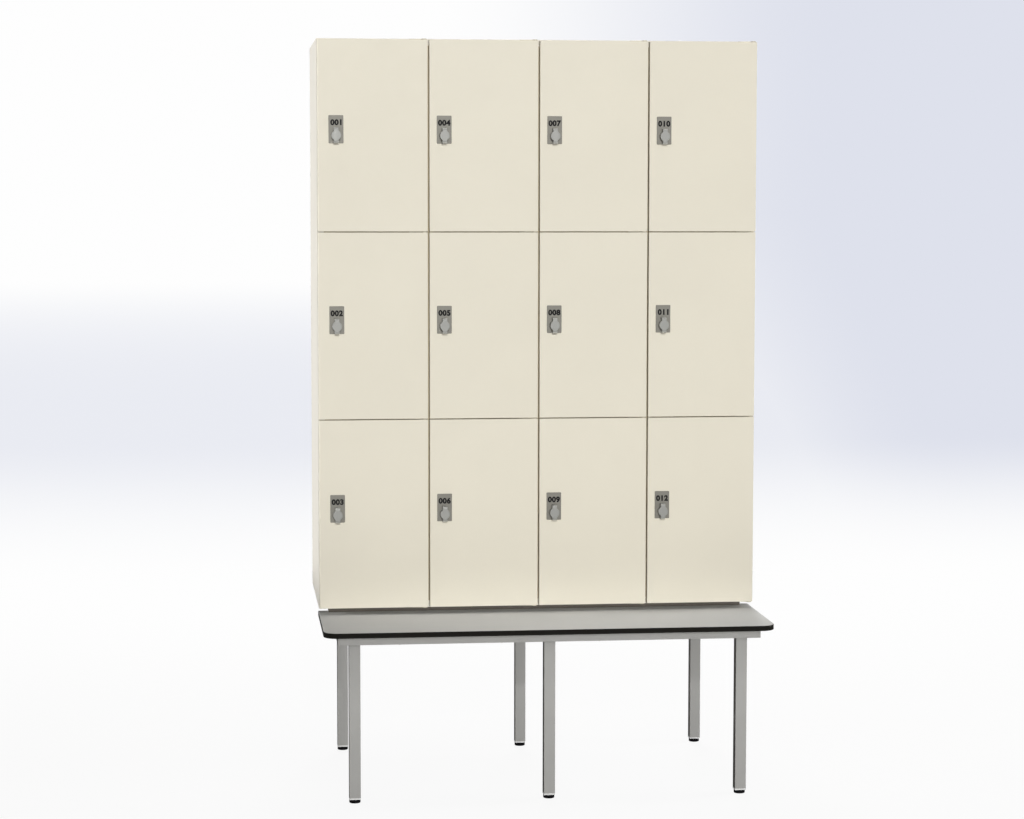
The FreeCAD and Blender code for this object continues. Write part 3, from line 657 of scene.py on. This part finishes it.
def set_camera():
    """The photograph's camera."""
    forward = Vector((
        math.sin(CAMERA_YAW) * math.cos(CAMERA_PITCH),
        math.cos(CAMERA_YAW) * math.cos(CAMERA_PITCH),
        -math.sin(CAMERA_PITCH),
    ))
    level = Vector((math.cos(CAMERA_YAW), -math.sin(CAMERA_YAW), 0.0))
    upward = level.cross(forward)
    right = math.cos(CAMERA_ROLL) * level + math.sin(CAMERA_ROLL) * upward
    top = -math.sin(CAMERA_ROLL) * level + math.cos(CAMERA_ROLL) * upward
    lens = bpy.data.cameras.new("camera")
    lens.sensor_fit = "HORIZONTAL"
    lens.sensor_width = SENSOR_WIDTH
    lens.lens = FOCAL_PIXELS / IMAGE_WIDTH * SENSOR_WIDTH
    lens.clip_end = CAMERA_REACH
    camera = bpy.data.objects.new("camera", lens)
    turn = Matrix((right, top, -forward)).transposed().to_4x4()
    camera.matrix_world = Matrix.Translation(CAMERA_PLACE) @ turn
    bpy.context.scene.collection.objects.link(camera)
    bpy.context.scene.camera = camera


def seen_directly(tree):
    """1 for rays that show the background as it is: from the camera, in a gloss or through glass."""
    path = tree.nodes.new("ShaderNodeLightPath")
    total = path.outputs["Is Camera Ray"]
    for name in ("Is Glossy Ray", "Is Transmission Ray"):
        larger = tree.nodes.new("ShaderNodeMath")
        larger.operation = "MAXIMUM"
        tree.links.new(total, larger.inputs[0])
        tree.links.new(path.outputs[name], larger.inputs[1])
        total = larger.outputs[0]
    return total


def set_world():
    """White to the eye, cooler towards the right, and a low even light on the object."""
    world = bpy.data.worlds.new("studio")
    bpy.context.scene.world = world
    world.use_nodes = True
    tree = world.node_tree
    even = tree.nodes["Background"]
    even.inputs["Color"].default_value = AMBIENT_TINT
    even.inputs["Strength"].default_value = AMBIENT
    white = tree.nodes.new("ShaderNodeBackground")
    place = tree.nodes.new("ShaderNodeTexCoord").outputs["Generated"]
    parts = tree.nodes.new("ShaderNodeSeparateXYZ")
    tree.links.new(place, parts.inputs[0])
    side = tree.nodes.new("ShaderNodeMapRange")
    side.interpolation_type = "SMOOTHSTEP"
    for socket, value in zip(("From Min", "From Max"), COOL_FAN):
        side.inputs[socket].default_value = value
    tree.links.new(parts.outputs["X"], side.inputs["Value"])
    tone = tree.nodes.new("ShaderNodeMix")
    tone.data_type = "RGBA"
    tree.links.new(side.outputs[0], tone.inputs[0])
    tone.inputs[6].default_value = WHITE
    tone.inputs[7].default_value = paint(*COOL_STEPS)
    tree.links.new(tone.outputs[2], white.inputs["Color"])
    either = tree.nodes.new("ShaderNodeMixShader")
    tree.links.new(seen_directly(tree), either.inputs[0])
    tree.links.new(even.outputs[0], either.inputs[1])
    tree.links.new(white.outputs[0], either.inputs[2])
    tree.links.new(either.outputs[0], tree.nodes["World Output"].inputs["Surface"])


def floor_material():
    """White near the object with the shadow left in it, and a faint cool tone far behind; to bounced light it
    is darker under the object and lighter in front, a painted shade and a painted pool of light.
    """
    graph = Graph("floor", Roughness=FLOOR_ROUGHNESS, Specular_IOR_Level=0.0)
    tree = graph.tree
    seen = seen_directly(tree)
    place = graph.node("ShaderNodeTexCoord").outputs["Object"]
    parts = graph.node("ShaderNodeSeparateXYZ", {0: place})
    across, along = parts.outputs["X"], parts.outputs["Y"]
    # Painted light in the bounce: darker under the object as painted shade, lighter in front as a painted
    # pool of light.
    pool_and_shade_bounce = graph.blend(graph.ease(along, *BOUNCE_CHANGE), BOUNCE_PAINTED_SHADE, BOUNCE_PAINTED_POOL)
    graph.finish(graph.blend(seen, pool_and_shade_bounce, FLOOR_PALE))
    fan = graph.math("DIVIDE", across, graph.math("ADD", along, COOL_FAN_START))
    kept = graph.math("MULTIPLY", graph.ease(along, *COOL_FADE), COOL_KEPT)
    lasting = graph.math("MAXIMUM", graph.ease(fan, *COOL_FAN), kept)
    cool = graph.math("MULTIPLY", graph.ease(along, *COOL_BEHIND), lasting)
    glow = graph.node("ShaderNodeEmission")
    graph.put(glow.inputs["Color"], graph.blend(cool, WHITE, paint(*COOL_STEPS)))
    away = graph.node("ShaderNodeVectorMath", {0: place}, operation="LENGTH").outputs["Value"]
    plain = graph.spread(graph.ease(away, *SHADOW_REACH), 1.0 - FLOOR_SHADOW, 1.0, 0.0, 1.0)
    either = graph.node("ShaderNodeMixShader")
    graph.put(either.inputs[0], graph.math("MULTIPLY", seen, plain))
    graph.put(either.inputs[1], graph.shader.outputs[0])
    graph.put(either.inputs[2], glow.outputs[0])
    graph.put(tree.nodes["Material Output"].inputs["Surface"], either.outputs[0])
    return graph.material


def add_floor():
    """A pale floor just under the feet."""
    half = FLOOR_SIZE / 2
    corners = [(-half, -half, 0.0), (half, -half, 0.0), (half, half, 0.0), (-half, half, 0.0)]
    mesh = bpy.data.meshes.new("floor")
    mesh.from_pydata(corners, [], [(0, 1, 2, 3)])
    mesh.materials.append(floor_material())
    floor = bpy.data.objects.new("floor", mesh)
    floor.location.z = -FLOOR_DROP
    bpy.context.scene.collection.objects.link(floor)


def hang_lamp(lamp, place, aim):
    """The lamp set in its place and turned to its aim."""
    holder = bpy.data.objects.new(lamp.name, lamp)
    turn = (Vector(aim) - Vector(place)).to_track_quat("-Z", "Y").to_matrix().to_4x4()
    holder.matrix_world = Matrix.Translation(place) @ turn
    holder.visible_camera = False
    bpy.context.scene.collection.objects.link(holder)


def add_soft_box(name, place, aim, sides, spread, watts):
    lamp = bpy.data.lights.new(name, "AREA")
    lamp.shape = "RECTANGLE"
    lamp.size, lamp.size_y = sides
    lamp.spread = math.radians(spread)
    lamp.energy = watts
    hang_lamp(lamp, place, aim)


def add_spot(name, place, aim, half_angle, rim, radius, watts):
    lamp = bpy.data.lights.new(name, "SPOT")
    lamp.spot_size = math.radians(2 * half_angle)
    lamp.spot_blend = rim
    lamp.shadow_soft_size = radius
    lamp.energy = watts
    hang_lamp(lamp, place, aim)


dress_nodes()
add_numbers()
add_bracket_screws()
add_strike_screws()
add_frame_screws()
add_welds()

set_camera()
set_world()
add_floor()
for lamp_name, lamp_values in SOFT_BOXES.items():
    add_soft_box(lamp_name, **lamp_values)
for lamp_name, lamp_values in SPOTS.items():
    add_spot(lamp_name, **lamp_values)
bpy.context.scene.view_settings.view_transform = "Standard"
